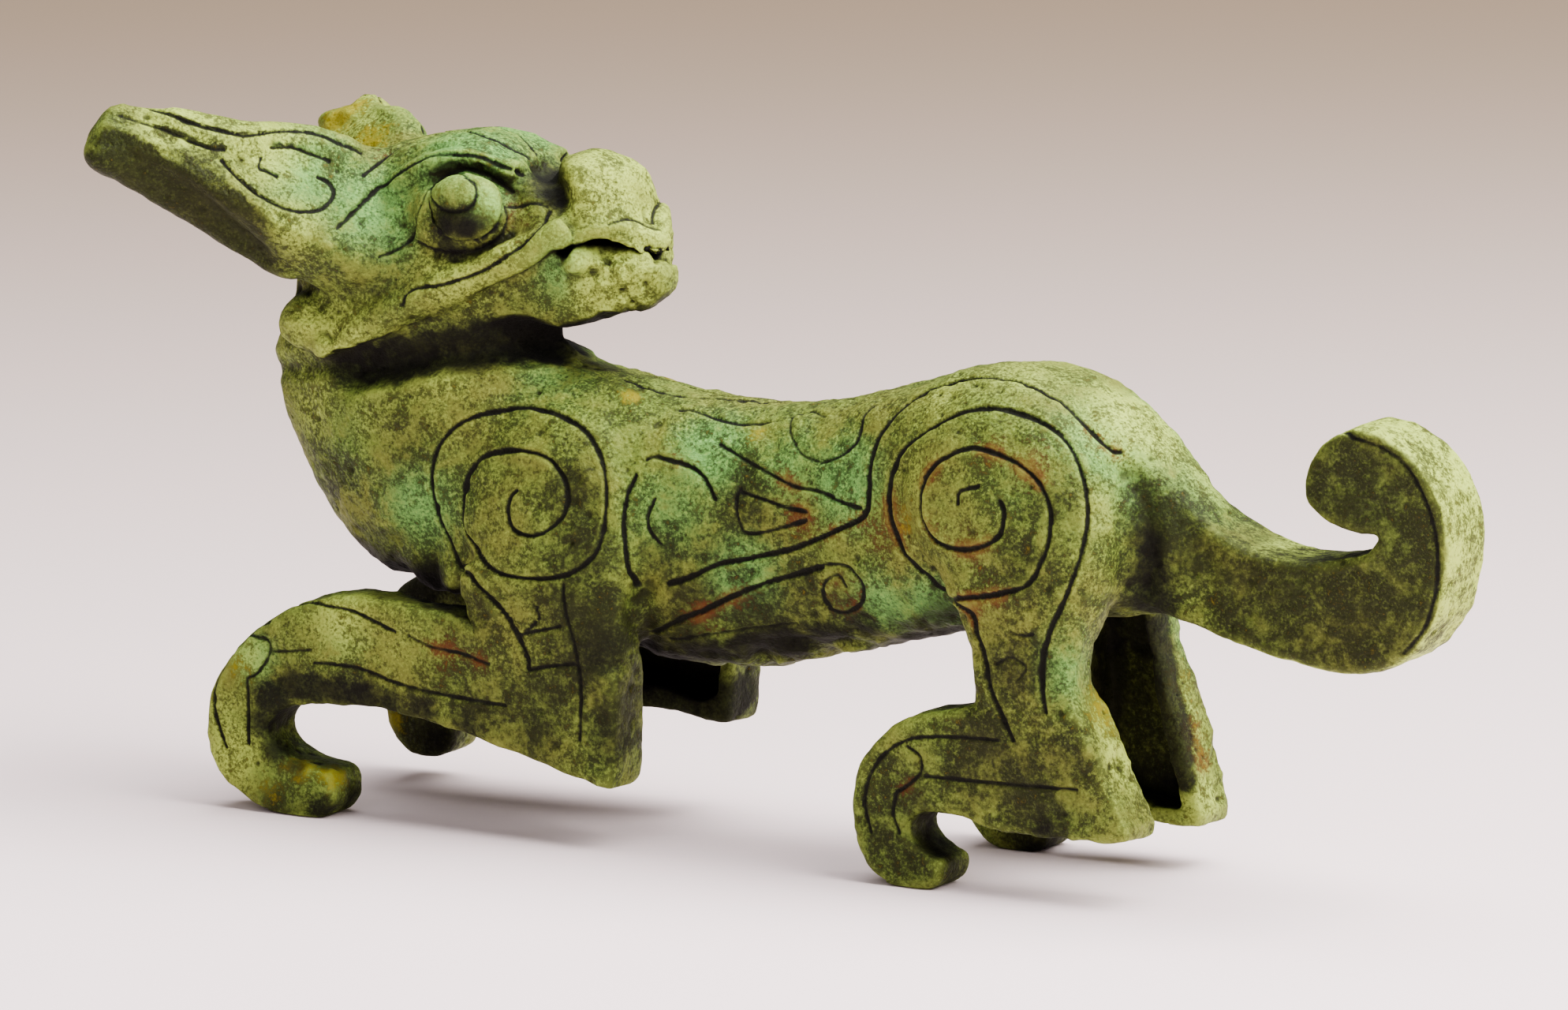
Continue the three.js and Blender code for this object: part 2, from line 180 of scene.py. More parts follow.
HEAD_LINES = [
    # Brow lines, eye, eye corners
    (CLEAR, [(461, 222), (493, 199), (536, 176), (576, 167), (611, 172), (645, 186), (671, 200)]),
    (CLEAR, [(428, 288), (455, 263), (479, 239), (516, 212), (548, 197), (582, 196), (611, 200),
             (639, 212), (662, 222)]),
    (FAINT, [(482, 325), (510, 312), (526, 290), (534, 258), (556, 230), (586, 215), (618, 222),
             (640, 236), (650, 243)]),
    (FAINT, [(530, 306), (556, 318), (596, 320), (630, 304), (642, 282), (640, 262)]),
    (FAINT, [(640, 262), (670, 258), (694, 262)]),
    # Cheek line and lip wrinkle
    (CLEAR, [(698, 268), (680, 294), (651, 319), (611, 344), (565, 360), (522, 368), (510, 388)]),
    (FAINT, [(772, 284), (806, 279), (838, 290)]),
]

HORN_LINES = [
    (CLEAR, [(187, 134), (219, 147), (252, 160), (286, 168), (314, 172), (349, 167), (374, 166),
             (401, 170), (431, 182), (458, 193)]),
    (FAINT, [(152, 146), (190, 159), (229, 174), (262, 188), (284, 190)]),
    (CLEAR, [(281, 204), (299, 224), (324, 246), (354, 262), (381, 268), (408, 264), (423, 247),
             (418, 232), (403, 224)]),
    (FINE, [(344, 187), (369, 187), (393, 195), (418, 204)]),
    (FINE, [(331, 200), (328, 212), (339, 219), (351, 224)]),
]

TAIL_LINES = [
    (FINE, [(1700, 547), (1748, 566), (1786, 596), (1811, 646), (1822, 700), (1820, 750), (1806, 796),
            (1780, 828)]),
]

# Ring of the pupil, in pixels of the photograph
PUPIL_AT = (576, 245)
PUPIL_WIDE = 29
PUPIL_HIGH = 24
PUPIL_POINTS = 12

# Broad tooling: radius and height in millimetres, then the path; a height below zero presses in
TOOL_STRIDE = 4
SHAPING = [
    # Eye: the groove around the ball, then the ball
    (2.6, -0.7, [(522, 300), (530, 262), (552, 230), (588, 212), (624, 222), (650, 250), (648, 284),
                 (622, 310), (586, 322), (546, 318), (522, 300)]),
    (7.0, 2.9, [(548, 257), (580, 242), (612, 252), (616, 274), (588, 288), (550, 279), (548, 257)]),
    # Brow crest, the recess behind the nose, and the nose
    (3.0, 0.7, [(445, 255), (500, 206), (560, 183), (615, 187), (668, 211)]),
    (4.6, -3.4, [(690, 208), (700, 232), (708, 256)]),
    (9.0, 1.6, [(752, 214), (790, 236)]),
    (7.0, 1.8, [(818, 226), (838, 262), (846, 296)]),
    # Lips and jaw edge, then the undercut of the jaw
    (2.4, 1.0, [(712, 308), (756, 291), (800, 289), (846, 312)]),
    (3.4, 3.2, [(730, 332), (770, 329), (812, 334)]),
    (1.7, -1.8, [(786, 314), (826, 318), (858, 327)]),
    (6.0, 1.4, [(846, 350), (826, 378)]),
    (3.4, 1.2, [(708, 291), (640, 345), (560, 385), (480, 420), (408, 446)]),
    (6.0, -4.6, [(706, 430), (680, 431), (630, 437), (570, 446), (500, 458), (446, 468)]),
    # Horn: top, crease and hollow side; the far horn is thinner
    (6.0, 1.5, [(226, 150), (300, 172), (380, 170), (440, 188)]),
    (1.6, 0.35, [(135, 158), (182, 176), (232, 194), (272, 212), (300, 240), (356, 284), (420, 312)]),
    (4.2, -1.5, [(142, 184), (196, 216), (262, 262), (330, 320)]),
    (4.6, 1.4, [(132, 204), (166, 228), (215, 264), (270, 304), (320, 344), (350, 366)]),
    (7.5, 1.8, [(114, 172), (118, 186)]),
    (8.0, -3.0, [(440, 112), (468, 108), (505, 128)]),
    # Jaw lobe, neck edge, groin and armpit
    (7.0, 1.5, [(364, 410), (362, 440)]),
    (9.0, 1.4, [(366, 470), (374, 520)]),
    (4.0, -1.4, [(1430, 598), (1450, 640), (1458, 690), (1450, 745)]),
    (4.0, -1.0, [(818, 745), (812, 800), (816, 846)]),
    (3.2, -1.0, [(360, 462), (390, 466), (420, 462)]),
]

# Places pulled along and then softened: radius and shift in millimetres, then the path
SOFT_REACH = 1.3
SOFT_ROUNDS = 70
PULLS = [
    # Lower edge of the chest, down towards the upper arm, and the crease between them
    (9.0, (0.0, 0.0, -5.0), [(550, 714), (570, 716), (588, 710)]),
    (7.0, (-2.0, -3.5, 0.0), [(590, 714), (602, 724), (612, 736)]),
    # Front of the upper arm, forward under the chest
    (10.0, (-9.5, 0.0, 0.0), [(640, 742), (644, 765), (650, 788)]),
]

# Casting faults: dents, waves, crusts and a ragged edge under the belly, in millimetres
DENTS = 2200
DENT_RADIUS = (0.5, 1.6)
DENT_DEPTH = (0.1, 0.45)
WAVES = [(12.0, 0.4), (4.4, 0.34), (1.8, 0.22)]
CALM_SHARE = 0.5
CRUST_LUMPS = [(3.0, 0.7), (1.4, 0.5)]
CRUSTS = [
    (780, 368, 9, 1.2), (830, 360, 6, 0.7), (740, 340, 6, 0.6), (800, 240, 10, 0.45), (390, 415, 8, 0.6),
    (440, 145, 7, 0.7), (1420, 970, 9, 0.8), (1530, 960, 9, 0.9), (1330, 1030, 8, 0.6),
    (420, 990, 6, 0.6), (560, 880, 9, 0.4), (760, 860, 9, 0.5),
]
RAGGED_BELOW = 44.0
RAGGED_ABOVE = 28.0
RAGGED_FADE_Z = 4.0
RAGGED_FROM_X = -34.0
RAGGED_TO_X = 40.0
RAGGED_FADE_X = 6.0
RAGGED_HALF_Y = 19.0
RAGGED_FACE = -0.3
RAGGED_CELL = 4.6
RAGGED_DEPTH = 3.2
RAGGED_SEED = SEED + 9
STANDING_BELOW = 0.6

# Places of each stain and of painted shade: photograph position, radius in millimetres, strength
STAINS_AND_PAINTED_SHADE = {
    "jade": [
        (590, 190, 13, 1.0), (470, 260, 11, 0.9), (390, 215, 11, 0.9), (618, 258, 5, 1.1),
        (720, 345, 7, 0.9), (500, 300, 7, 0.7), (530, 640, 9, 0.9), (440, 560, 11, 0.35),
        (900, 575, 9, 1.0), (1070, 610, 9, 1.0), (940, 730, 9, 0.9), (1000, 590, 9, 0.6),
        (850, 650, 10, 0.6), (1190, 770, 7, 1.3), (1120, 770, 8, 0.9), (1410, 560, 12, 0.9),
        (1440, 620, 9, 0.7), (1350, 850, 8, 0.6), (1520, 620, 10, 0.5), (430, 806, 7, 0.5),
        (322, 832, 5, 0.9), (700, 480, 9, 0.5), (1290, 610, 7, 0.3),
    ],
    "pale_and_lit": [
        (230, 165, 11, 1.0), (330, 185, 11, 0.8), (360, 290, 8, 0.7), (770, 225, 11, 1.0),
        (820, 285, 7, 1.0), (780, 362, 9, 1.3), (600, 355, 8, 0.5), (430, 430, 9, 0.7),
        (1300, 475, 13, 0.5), (1440, 530, 13, 0.9), (1530, 610, 9, 0.5), (1850, 640, 13, 1.0),
        (1865, 720, 12, 1.0), (1780, 545, 9, 0.9), (1845, 790, 10, 0.9), (1400, 830, 9, 0.7),
        (1420, 950, 9, 1.0), (1390, 640, 7, 0.5), (560, 480, 10, 0.4), (400, 520, 9, 0.5),
        (1160, 600, 7, 0.4), (1200, 500, 9, 0.5), (450, 160, 8, 0.6), (290, 960, 9, 0.8),
        (480, 540, 9, 0.45), (1530, 1010, 7, 0.8), (430, 785, 9, 0.7), (500, 825, 9, 0.4),
        (320, 832, 4, 0.6), (280, 900, 6, 0.5), (570, 342, 8, 0.8), (640, 322, 6, 0.6),
        (390, 410, 7, 0.6),
    ],
    "umber_and_shade": [
        # Dark patina, except the places under the eye ball and along the lower flank, which are painted
        # shade
        (150, 205, 8, 0.9), (230, 240, 9, 1.2), (320, 320, 9, 0.9), (700, 235, 6, 1.2),
        (480, 330, 8, 0.4), (420, 350, 9, 0.4), (730, 620, 8, 0.8), (740, 700, 9, 0.8),
        (760, 800, 11, 1.1), (790, 900, 11, 0.9), (640, 900, 13, 0.6), (870, 810, 11, 0.9),
        (980, 810, 11, 0.9), (1080, 780, 9, 0.7), (1300, 720, 9, 0.6), (1290, 850, 9, 0.8),
        (1230, 980, 11, 0.7), (1330, 1020, 11, 0.7), (1160, 1080, 9, 0.7), (1640, 740, 13, 0.9),
        (1720, 640, 13, 0.9), (1720, 790, 13, 0.9), (1560, 720, 11, 0.7), (1500, 680, 9, 0.9),
        (580, 870, 9, 0.5), (350, 1022, 6, 0.7), (1210, 1100, 6, 0.8), (1475, 665, 8, 1.2),
        (1450, 625, 5, 0.9), (1520, 700, 8, 0.9), (830, 345, 5, 0.3), (880, 765, 9, 0.8),
        (950, 775, 9, 0.8), (1020, 755, 8, 0.6), (840, 705, 8, 0.6), (540, 930, 7, 1.2),
        (600, 905, 7, 0.8), (530, 892, 5, 0.8), (680, 930, 8, 0.8), (460, 872, 5, 0.7),
        (1320, 1080, 7, 1.3), (1360, 960, 8, 0.7), (720, 760, 9, 0.8), (740, 840, 10, 0.9),
        (700, 880, 9, 0.7), (950, 640, 9, 0.6), (900, 700, 9, 0.5), (1250, 940, 9, 0.9),
        (1300, 1000, 11, 0.9), (1150, 1010, 9, 0.7), (1120, 1060, 8, 0.7), (588, 284, 4, 1.3),
        (562, 280, 4, 1.2), (612, 284, 3, 1.0), (1340, 640, 9, 0.6), (420, 600, 10, 0.5),
        (500, 560, 9, 0.5), (560, 400, 9, 0.25), (650, 390, 9, 0.25), (600, 780, 9, 0.6),
        (1000, 770, 9, 0.6),
    ],
    "ochre": [
        (432, 146, 6, 1.2), (468, 182, 5, 1.0), (425, 978, 4, 1.0), (385, 968, 4, 0.8),
        (800, 500, 2.2, 1.0), (961, 548, 2.2, 0.9), (1400, 900, 6, 0.7), (1395, 870, 4, 0.5),
        (1520, 940, 6, 0.3), (496, 915, 3, 0.8), (1150, 660, 5, 0.5), (300, 850, 4, 0.5),
        (340, 1000, 5, 0.4),
    ],
    "deep_shade": [
        # All of these are painted shade: under the jaw, in the armpit, beside the nose, in the far hind
        # leg's hollow, in the paw's crook, under the eye ball, under the paws and under the belly
        (440, 466, 5, 1.0), (475, 458, 6, 1.3), (510, 452, 6, 1.5), (545, 446, 6, 1.5),
        (580, 440, 6, 1.5), (615, 434, 6, 1.5), (650, 430, 6, 1.5), (685, 428, 6, 1.5),
        (718, 430, 5, 1.4), (700, 450, 5, 1.0), (600, 460, 5, 0.9), (480, 725, 5, 1.2),
        (520, 745, 4, 1.2), (528, 738, 6, 1.6), (556, 744, 6, 1.6), (560, 768, 3, 1.0),
        (700, 228, 4, 1.5), (704, 250, 3, 1.3), (1455, 690, 5, 0.9), (1460, 725, 6, 1.1),
        (1462, 760, 6, 1.2), (1467, 800, 4.0, 1.5), (1472, 824, 4.0, 1.5), (1477, 850, 4.0, 1.5),
        (1481, 878, 4.0, 1.5), (1487, 906, 4.0, 1.5), (1493, 934, 4.0, 1.5), (1498, 962, 3.4, 1.3),
        (1503, 990, 3, 1.2), (345, 885, 5, 1.1), (332, 915, 4, 1.0), (350, 948, 4, 1.0),
        (375, 970, 3, 0.8), (372, 868, 4, 1.2), (400, 872, 4, 1.2), (430, 877, 4, 1.1),
        (462, 884, 4, 1.1), (492, 892, 4, 1.0), (448, 1012, 4, 1.0), (410, 1028, 4, 0.9),
        (540, 905, 4, 0.8), (590, 922, 4, 0.8), (1320, 1088, 5, 0.9), (560, 935, 6, 0.9),
        (570, 312, 4, 1.0), (592, 290, 3, 1.1), (566, 286, 3, 1.0), (760, 830, 8, 0.6),
        (1185, 1060, 5, 0.8), (850, 832, 6, 1.1), (900, 830, 6, 1.2), (950, 824, 6, 1.2),
        (1000, 816, 6, 1.2), (1050, 808, 6, 1.1), (1100, 800, 5, 0.9), (1330, 1060, 6, 0.8),
        (780, 940, 7, 0.7), (830, 880, 5, 1.4), (870, 890, 6, 1.5), (910, 896, 6, 1.5),
        (938, 884, 5, 1.4), (890, 862, 6, 1.3),
    ],
    "rust": [
        (1135, 660, 6, 1.1), (1110, 680, 6, 0.8), (1185, 660, 4, 0.7), (1310, 590, 5, 1.1),
        (1230, 695, 5, 0.9), (1180, 600, 4, 0.9), (1260, 572, 4, 0.8), (1230, 770, 4, 1.1),
        (1260, 760, 4, 0.7), (1020, 655, 4, 1.0), (1000, 612, 4, 0.8), (890, 780, 4, 0.9),
        (930, 760, 4, 0.7), (860, 584, 4, 0.5), (560, 824, 5, 0.8), (610, 838, 4, 0.6),
        (660, 285, 4, 0.6), (655, 255, 3, 0.5), (1070, 755, 5, 0.6), (1514, 930, 4, 1.2),
        (1522, 965, 4, 1.4), (1380, 548, 5, 0.4), (1410, 572, 4, 0.6), (1060, 675, 4, 0.5),
        (480, 195, 3, 0.5), (1150, 1000, 3, 0.5),
    ],
}
FAR_SIDE_STRENGTH = 0.85

# Shelter: how much of the sky above each point the beast itself blocks, felt by short rays; painted into
# the colour as shade, with surfaces that face down painted darker too
SHELTER_RAYS = 26
GOLDEN_SHARE = 3.0 - math.sqrt(5.0)
SHELTER_REACH = 32.0
SHELTER_LIFT = 0.35
SHELTER_LEAST = 0.15
UNDERSIDE_PAINTED_SHADE = 0.3
RIM_ROUNDS = 26

# Painted shade on the flat sides of the tail and horns, against their pale backs and tops, with painted
# light along the tail's back; both follow which way each point faces
TAIL_SIDE_FROM_X = 84.0
TAIL_SIDE_TURN = (0.6, 0.85)
TAIL_BAND_FROM_X = 92.0
TAIL_BAND_TURN = (-0.7, -0.4)
HORN_SIDE_FACE = (0.146, -0.713, -0.686)
HORN_SIDE_BELOW_X = -100.0
HORN_SIDE_ABOVE_Z = 98.0
HORN_SIDE_TURN = (0.32, 0.5)
TAIL_SIDE_PAINTED_SHADE = 0.73
HORN_SIDE_PAINTED_SHADE = 1.0

# Finishes and the tones of painted shade and light, as the eye sees them in daylight, 0 to 255
OLIVE = (97, 102, 38)
LEAF_GREEN = (95, 116, 42)
JADE = (94, 150, 72)
# Pale crust; also the tone of painted light along the tail's back and on rounded edges
PALE_GREEN = (170, 190, 76)
# Dark patina; also the tone of painted shade under overhangs, on undersides and on the flat sides
UMBER = (23, 25, 3)
OCHRE = (132, 122, 10)
RUST = (86, 40, 13)
# Near-black tone of painted shade
DEEP_SHADE_TONE = (9, 8, 5)
GROOVE_FILL = (10, 10, 5)
FLOOR_FRONT = (252, 232, 237)
# The floor's colour towards the back is painted shade, darker where the light falls off
FLOOR_BACK = (130, 112, 94)

# How the eye's tones turn into light
FULL_TONE = 255.0
TONE_KNEE = 0.04045
TONE_SLOPE = 12.92
TONE_LIFT = 0.055
TONE_POWER = 2.4

# Lumps of the patina, with sizes in millimetres
CLOUD = {"size": 22.0, "detail": 4.0, "rough": 0.55, "warp": 0.0}
BLOTCH = {"size": 8.0, "detail": 4.0, "rough": 0.55, "warp": 0.6}
MOTTLE = {"size": 1.7, "detail": 5.0, "rough": 0.65, "warp": 0.0}
SPECKLE = {"size": 0.6, "detail": 3.0, "rough": 0.7, "warp": 0.0}
GRAIN = 1.2
MEAN_LUMP = 0.5

# Patterns: shares of cloud, blotch, mottle and speckle
GREEN_MIX = (0.6, 0.4, 0.0, 0.0)
RAGGED_MIX = (0.0, 0.55, 0.45, 0.0)
BROKEN_MIX = (0.0, 0.0, 0.5, 0.5)
DARK_SPOT_MIX = (0.0, 0.3, 0.3, 0.4)
PALE_SPOT_MIX = (0.0, 0.0, 0.3, 0.7)
BUMP_MIX = (0.0, 0.0, 0.7, 0.5)

# Broad coats: mask, tone, how far the edge frays, and the most it covers; the umber coat also carries
# painted shade and the pale coat painted light
COATS = [("jade", JADE, 1.9, 0.85), ("pale_and_lit", PALE_GREEN, 1.7, 0.85), ("umber_and_shade", UMBER, 2.3, 0.9)]

# Where each coat comes in, from nothing to all
GREEN_BAND = (0.36, 0.64)
COAT_BAND = (0.06, 0.85)
DARK_SPOT_BAND = (0.44, 0.575)
PALE_SPOT_BAND = (0.52, 0.66)
RIM_BAND = (0.01, 0.2)
RUST_BAND = (0.25, 1.1)
OCHRE_BAND = (0.25, 1.0)
RUBBED_HIGHLIGHT_BAND = (0.06, 0.4)
HOLLOW_BAND = (0.03, 0.34)
SHELTER_BAND = (0.2, 0.62)
DEEP_SHELTER_BAND = (0.52, 0.82)
INK_BAND = (0.15, 0.7)
DEEP_SHADE_BAND = (0.2, 0.9)
GRAIN_BAND = (0.5, 0.0)

# The most each coat covers
DARK_SPOT_MOST = 0.85
PALE_SPOT_MOST = 0.25
RUST_MOST = 0.68
OCHRE_MOST = 0.8
RUBBED_HIGHLIGHT_MOST = 0.25
HOLLOW_MOST = 0.85
SHELTER_MOST = 0.9
INK_MOST = 0.96
DEEP_SHADE_MOST = 0.9

# How strongly lumps and masks change a coat
PALE_SPOT_UMBER = 0.8
STAIN_RAGGED = 1.2
STAIN_BROKEN = 2.4
DEEP_SHADE_RAGGED = 0.8
RUST_AWAY = 0.7
RUST_BESIDE = 0.8
INK_LEAST = 0.55
INK_BLOTCH = 0.9

# Surface of the bronze; the bump's height is in metres
ROUGH_LEAST = 0.42
ROUGH_MOTTLE = 0.34
ROUGH_GROOVE = 0.2
ROUGH_DEEP_SHADE = 0.2
BRONZE_METAL = 0.0
BRONZE_GLOSS = 0.11
BUMP_GRAIN = 0.35
BUMP_STRENGTH = 0.75
BUMP_HEIGHT = 0.00066

# Floor and lights: metres, degrees and watts
FLOOR_HALF = 6.0
FLOOR_NEAR = -0.3
FLOOR_FAR = 0.95
FLOOR_ROUGH = 0.9
FLOOR_GLOSS = 0.1
LAMPS = {
    "key_light": {"turn": 100.0, "rise": 46.0, "away": 1.3, "across": 1.3,
                  "watts": 57.0, "tone": (1.0, 0.98, 0.93)},
    "fill_light": {"turn": 2.0, "rise": 36.0, "away": 1.6, "across": 1.2,
                   "watts": 7.0, "tone": (0.98, 0.99, 1.0)},
    "top_light": {"turn": 150.0, "rise": 76.0, "away": 1.4, "across": 1.7,
                  "watts": 58.0, "tone": (1.0, 0.99, 0.97)},
}
ROOM_TONE = (0.94, 0.86, 0.86, 1.0)
ROOM_STRENGTH = 0.27


def daylight(colour):
    """A colour from 0 to 255 as the shader's own linear values."""
    steps = [value / FULL_TONE for value in colour]
    linear = [s / TONE_SLOPE if s <= TONE_KNEE else ((s + TONE_LIFT) / (1.0 + TONE_LIFT)) ** TONE_POWER
              for s in steps]
    return (*linear, 1.0)


def standing_off(turn, rise):
    """The direction from the beast to a place at this turn around it and this rise above the floor."""
    return Vector((math.sin(turn) * math.cos(rise), -math.cos(turn) * math.cos(rise), math.sin(rise)))


def aim(made, back, away):
    """Stands a lamp or camera off from the beast, facing it."""
    made.location = CAMERA_TARGET + back * away
    made.rotation_euler = back.to_track_quat("Z", "Y").to_euler()


def view_axes():
    """Directions from the target back to the camera, to the right and up in the picture."""
    back = standing_off(CAMERA_TURN, CAMERA_RISE)
    right = Vector((math.cos(CAMERA_TURN), math.sin(CAMERA_TURN), 0.0))
    return back, right, back.cross(right)


def link(made):
    """Puts an object in the scene."""
    bpy.context.scene.collection.objects.link(made)
    return made


def smooth_step(values, low, high):
    """0 below low, 1 above high, smooth between."""
    share = np.clip((values - low) / (high - low), 0.0, 1.0)
    return share * share * (3.0 - 2.0 * share)


def above(values, limit, blend=BLEND_WIDTH):
    """0 up to the limit, 1 once past it by the blend."""
    return smooth_step(values, limit, limit + blend)


def below(values, limit, blend=BLEND_WIDTH):
    """0 down to the limit, 1 once under it by the blend."""
    return smooth_step(-values, -limit, -limit + blend)


def lattice_noise(points, cell, seed):
    """Soft seeded noise from -1 to 1, with lumps of about one cell."""
    scaled = points / cell
    base = np.floor(scaled).astype(np.int64)
    part = smooth_step(scaled - base, 0.0, 1.0)
    total = np.zeros(len(points))
    for corner in itertools.product((0, 1), repeat=3):
        x, y, z = ((base + np.array(corner)) * np.array(SCATTER)).T
        mixed = x ^ y ^ z ^ (seed * SCATTER_SEED)
        mixed = (mixed ^ (mixed >> SCATTER_FIRST)) * SCATTER_MIX
        value = ((mixed ^ (mixed >> SCATTER_LAST)) & SCATTER_TOP) / (SCATTER_TOP / 2) - 1.0
        weight = np.prod(np.where(np.array(corner) == 1, part, 1.0 - part), axis=1)
        total += value * weight
    return total


def points_of(mesh):
    """A mesh's points, in millimetres."""
    flat = np.empty(len(mesh.vertices) * 3, np.float32)
    mesh.vertices.foreach_get("co", flat)
    return flat.reshape(-1, 3).astype(float) * METRE


def faces_of(mesh):
    """A mesh's faces as rows of point numbers."""
    corners = np.empty(len(mesh.loops), np.int32)
    mesh.loops.foreach_get("vertex_index", corners)
    return corners.reshape(len(mesh.polygons), -1)


class Skin:
    """The beast's surface as arrays, in millimetres."""

    def __init__(self, mesh):
        self.points = points_of(mesh)
        self.faces = faces_of(mesh)
        ends = np.empty(len(mesh.edges) * 2, np.int32)
        mesh.edges.foreach_get("vertices", ends)
        self.first, self.second = ends.reshape(-1, 2).T
        count = len(self.points)
        meets = np.bincount(self.first, minlength=count) + np.bincount(self.second, minlength=count)
        self.meets = np.maximum(meets, 1)

    def neighbours(self, values):
        """Mean of each point's neighbours."""
        count = len(self.points)
        columns = [np.bincount(self.first, column[self.second], count)
                   + np.bincount(self.second, column[self.first], count)
                   for column in values.T]
        return np.stack(columns, axis=1) / self.meets[:, None]

    def relax(self, values, share, rounds):
        """Values drawn towards those of their neighbours."""
        for _ in range(rounds):
            values = values + share * (self.neighbours(values) - values)
        return values

    def normals(self, rounds=0):
        """Directions out of the skin, evened over some rounds."""
        a, b, c, d = (self.points[corner] for corner in self.faces.T)
        across = np.cross(c - a, d - b)
        total = np.zeros_like(self.points)
        for corner in self.faces.T:
            for axis, column in enumerate(across.T):
                total[:, axis] += np.bincount(corner, column, len(self.points))
        length = np.linalg.norm(total, axis=1, keepdims=True)
        return self.relax(total / np.maximum(length, SHORTEST), SMOOTH_SHARE, rounds)

    def tree(self):
        """The faces, sorted for rays and nearest places."""
        return BVHTree.FromPolygons(self.points.tolist(), self.faces.tolist())

    def lookup(self):
        """The points, sorted for finding those near a place."""
        found = KDTree(len(self.points))
        for index, point in enumerate(self.points.tolist()):
            found.insert(point, index)
        found.balance()
        return found


def fine_skin(node):
    """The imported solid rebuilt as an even, fine mesh."""
    welded = bmesh.new()
    welded.from_mesh(node.data)
    bmesh.ops.remove_doubles(welded, verts=welded.verts, dist=WELD_DISTANCE)
    mesh = bpy.data.meshes.new("rough_casting")
    welded.to_mesh(mesh)
    welded.free()
    rough = link(bpy.data.objects.new("rough_casting", mesh))
    remesh = rough.modifiers.new("even_skin", "REMESH")
    remesh.mode = "VOXEL"
    remesh.voxel_size = SKIN_STEP / METRE
    return settled(rough)


def settled(made):
    """The mesh that an object's modifier gives; the object itself goes."""
    mesh = bpy.data.meshes.new_from_object(made.evaluated_get(bpy.context.evaluated_depsgraph_get()))
    bpy.data.objects.remove(made)
    return mesh


def smoothing_shares(points):
    """How strongly each place is smoothed: the trunk fully, horns, tail and feet lightly."""
    x, _, z = points.T
    head_side = below(x, HEAD_BEFORE_X, HEAD_FADE)
    nose_side = above(x, NOSE_FROM_X - BLEND_WIDTH)
    share = np.full(len(points), FULL_SMOOTHING)
    for inside, amount in (
        (above(z, HEAD_ABOVE_Z) * head_side, HEAD_SMOOTHING),
        (above(z, HEAD_ABOVE_Z, NOSE_FADE) * head_side * nose_side, NOSE_SMOOTHING),
        (below(z, LEG_BELOW_Z + BLEND_WIDTH), LEG_SMOOTHING),
        (below(x, HORN_FROM_X + BLEND_WIDTH) * above(z, HORN_ABOVE_Z), CRISP_SMOOTHING),
        (above(x, TAIL_FROM_X - BLEND_WIDTH), CRISP_SMOOTHING),
    ):
        share = share * (1.0 - inside) + amount * inside
    return share[:, None]


def far_twin(point):
    """The same place on the other side of the beast."""
    return Vector((point.x, 2 * MIDDLE_Y - point.y, point.z))


def between(a, b, c, d, t):
    """A share of the way from b to c, on a smooth curve that comes from a and goes on to d."""
    return 0.5 * (2 * b + (c - a) * t + (2 * a - 5 * b + 4 * c - d) * t * t
                  + (3 * b - a - 3 * c + d) * t * t * t)


class Bench:
    """Casts the photograph's places on the skin and works the skin with tools."""

    def __init__(self, skin):
        self.skin = skin
        self.tree = skin.tree()
        self.lookup = skin.lookup()
        self.back, self.right, self.up = view_axes()
        self.eye = (CAMERA_TARGET + self.back * CAMERA_DISTANCE) * METRE

    def cast(self, place):
        """Where the ray through a place in the photograph meets the skin, or passes closest to it."""
        scale = CAMERA_SENSOR / CAMERA_LENS / IMAGE_WIDTH
        aside = (place[0] - IMAGE_WIDTH / 2) * scale
        raised = (IMAGE_HEIGHT / 2 - place[1]) * scale
        ray = self.right * aside + self.up * raised - self.back
        hit = self.tree.ray_cast(self.eye, ray.normalized())[0]
        if hit is not None:
            return hit
        depths = np.arange(-SEEK_DEPTH, SEEK_DEPTH, SEEK_STEP) + CAMERA_DISTANCE * METRE
        spots = [self.tree.find_nearest(self.eye + ray * float(depth)) for depth in depths]
        return min(spots, key=lambda spot: spot[3])[0]

    def path(self, places):
        """A smooth line of points on the skin through the cast places."""
        knots = [np.array(self.cast(place)) for place in places]
        knots = [2 * knots[0] - knots[1], *knots, 2 * knots[-1] - knots[-2]]
        line = []
        for a, b, c, d in zip(knots, knots[1:], knots[2:], knots[3:]):
            steps = max(LINE_LEAST, int(np.linalg.norm(c - b) / LINE_STEP))
            line.extend(between(a, b, c, d, t) for t in np.arange(steps) / steps)
        line.append(knots[-2])
        return [self.tree.find_nearest(Vector(point))[0] for point in line]

    def mirrored(self, points):
        """The same points on the far side, where the far side reaches them."""
        found = []
        for point in points:
            spot, _, _, gap = self.tree.find_nearest(far_twin(point))
            if gap < MIRROR_REACH and point.y < MIDDLE_Y - MIRROR_CLEAR:
                found.append(spot)
        return found

    def both_sides(self, places, stride=1):
        """Points along the path through the places, one in every stride, and the same on the far side."""
        near_side = self.path(places)[::stride]
        return near_side, self.mirrored(near_side)

    def nearness(self, points, radius):
        """For each skin point, 1 on the line falling evenly to 0 at the radius."""
        best = np.zeros(len(self.skin.points))
        for point in points:
            for _, index, gap in self.lookup.find_range(point, radius):
                best[index] = max(best[index], 1.0 - gap / radius)
        return best

    def stroke(self, points, radius):
        """Nearness with a soft round profile."""
        return smooth_step(self.nearness(points, radius), 0.0, 1.0)


